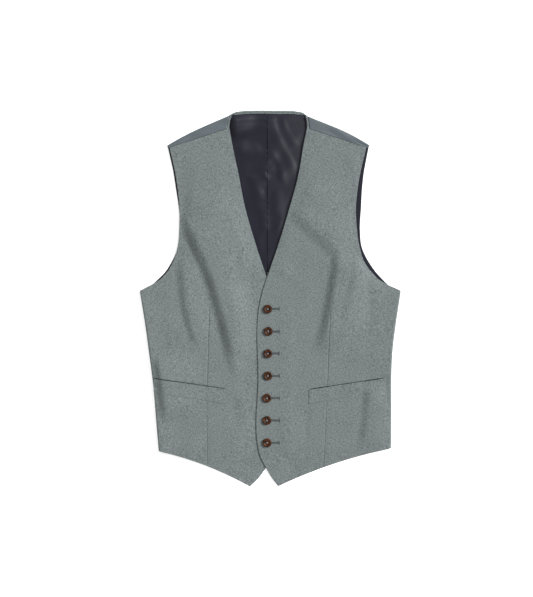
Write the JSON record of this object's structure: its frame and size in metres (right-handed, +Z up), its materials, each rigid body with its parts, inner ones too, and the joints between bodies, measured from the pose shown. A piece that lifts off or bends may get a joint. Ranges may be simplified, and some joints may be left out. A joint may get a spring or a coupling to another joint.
{
  "type": "suit waistcoat",
  "caption": "Single-breasted suit waistcoat laid flat: V neck, buttoned wool fronts with welt pockets and pointed hem, satin back and lining.",
  "frame": {"origin": "middle of the outline in X and Y, on the surface that the garment lies on", "axes": "+Z up from the surface, out of the fronts; +Y from hem to neck; +X towards the wearer's left"},
  "size_m": [0.4438, 0.6392, 0.0141],
  "materials": {
    "suiting": "mid-grey worsted wool suiting, fine two-tone weave, matte",
    "back_satin": "blue-grey satin, soft sheen",
    "lining": "dark navy-charcoal satin lining, soft sheen",
    "button": "mottled brown horn-effect, polished"
  },
  "bodies": {
    "root": {"front_left": "suiting", "front_right": "suiting", "welt_left": "suiting", "welt_right": "suiting", "neck_band": "suiting", "back_left": "back_satin", "back_right": "back_satin", "back_lining_left": "lining", "back_lining_right": "lining", "button_1": "button", "button_2": "button", "button_3": "button", "button_4": "button", "button_5": "button", "button_6": "button", "button_7": "button"}
  },
  "joints": []
}
